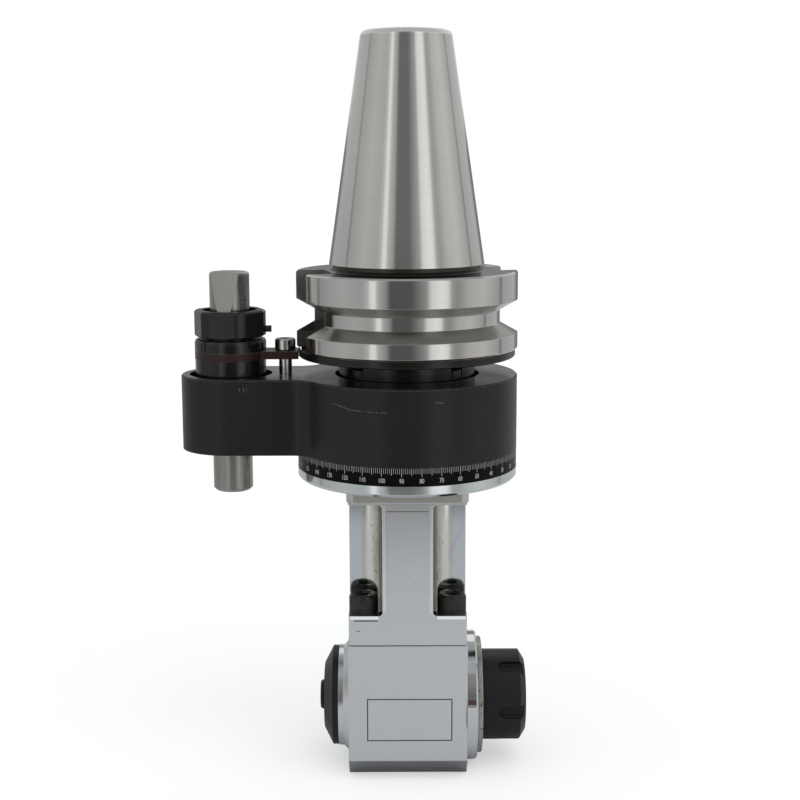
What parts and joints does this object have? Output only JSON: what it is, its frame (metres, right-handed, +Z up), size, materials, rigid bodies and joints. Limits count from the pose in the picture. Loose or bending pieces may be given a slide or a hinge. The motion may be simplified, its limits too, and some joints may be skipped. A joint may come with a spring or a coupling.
{
  "type": "angle head",
  "caption": "Right-angle milling head: taper shank, grooved flange, torque arm with sprung stop pin, degree dial, bright neck and housing, collet nut on a side spindle.",
  "frame": {"origin": "on the shank's axis at the gauge line, where the cone is 69.85 mm across", "axes": "+Z up along the shank to its small end, +X along the cutter spindle out of the collet, -X toward the stop pin, -Y the front in the picture"},
  "size_m": [0.1571, 0.1, 0.3352],
  "materials": {
    "ground_steel": "ground and polished",
    "black_steel": "black oxide",
    "black_screw_steel": "black oxide, glossy",
    "pin_steel": "ground, dull",
    "screw_steel": "bright turned",
    "plated_steel": "bright plated over a ground surface",
    "labyrinth_steel": "plain turned, stained",
    "nut_steel": "black oxide, satin",
    "dial_black": "black anodised, engraved scale filled white",
    "lever_brown": "browned",
    "gear_steel": "ground teeth",
    "bearing_steel": "polished",
    "shaft_steel": "turned and ground",
    "seal_rubber": "moulded",
    "collet_steel": "ground"
  },
  "bodies": {
    "head": {"neck": "plated_steel", "dial_ring": "dial_black", "bearing_cover": "black_steel", "bearing_cover_screws": "black_screw_steel", "shaft_seal": "seal_rubber", "clamp_screws": "black_screw_steel", "clamp_nuts": "black_steel", "neck_screws": "black_screw_steel", "neck_dowels": "shaft_steel", "head_housing": "plated_steel", "spindle_cover": "plated_steel", "rear_cap": "nut_steel", "upper_bearing_outer_ring": "bearing_steel", "lower_bearing_outer_ring": "bearing_steel", "front_bearing_outer_ring": "bearing_steel", "rear_bearing_outer_ring": "bearing_steel"},
    "shank": {"taper_shank": "ground_steel", "lock_ring": "black_steel", "shaft_screw": "black_screw_steel", "drive_shaft": "shaft_steel", "shaft_key": "shaft_steel", "spacer_tube": "shaft_steel", "drive_bevel_gear": "gear_steel", "drive_gear_key": "shaft_steel", "drive_gear_screw": "black_screw_steel", "upper_bearing_inner_ring": "bearing_steel", "lower_bearing_inner_ring": "bearing_steel"},
    "spindle": {"spindle": "shaft_steel", "spindle_bevel_gear": "gear_steel", "spindle_gear_key": "shaft_steel", "labyrinth_ring": "labyrinth_steel", "spindle_lock_nut": "black_steel", "front_bearing_inner_ring": "bearing_steel", "rear_bearing_inner_ring": "bearing_steel"},
    "collet": {"collet": "collet_steel"},
    "nut": {"collet_nut": "nut_steel"},
    "stop_block": {"stop_block": "black_steel", "pin_bush": "shaft_steel", "shoulder_screw": "screw_steel"},
    "stop_pin": {"stop_pin": "pin_steel", "hex_collar": "black_steel", "collar_dog_screw": "black_screw_steel", "split_collar": "black_steel", "lock_lever": "lever_brown", "spring_sleeve": "black_steel", "pin_spring": "screw_steel"}
  },
  "joints": [
    {"name": "shank_spin", "type": "hinge", "parent": "head", "child": "shank", "pos_m": [0, 0, 0], "axis": [0, 0, 1], "continuous": true},
    {"name": "spindle_spin", "type": "hinge", "parent": "head", "child": "spindle", "pos_m": [0, 0, -0.2032], "axis": [1, 0, 0], "continuous": true},
    {"name": "collet_travel", "type": "slide", "parent": "spindle", "child": "collet", "axis": [1, 0, 0], "range_m": [0, 0.00302]},
    {"name": "nut_turn", "type": "hinge", "parent": "collet", "child": "nut", "pos_m": [0, 0, -0.2032], "axis": [1, 0, 0], "range_deg": [0, 720]},
    {"name": "block_swivel", "type": "hinge", "parent": "head", "child": "stop_block", "pos_m": [0, 0, 0], "axis": [0, 0, 1], "continuous": true},
    {"name": "stop_pin_slide", "type": "slide", "parent": "stop_block", "child": "stop_pin", "axis": [0, 0, 1], "range_m": [-0.0055, 0], "stiffness_N_per_m": 3000, "springref_m": 0.004, "deforming": ["pin_spring"]}
  ],
  "couplings": [
    {"joint": "spindle_spin", "follows": "shank_spin", "ratio": 1},
    {"joint": "collet_travel", "follows": "nut_turn", "m_per_rad": 0.00023873}
  ]
}
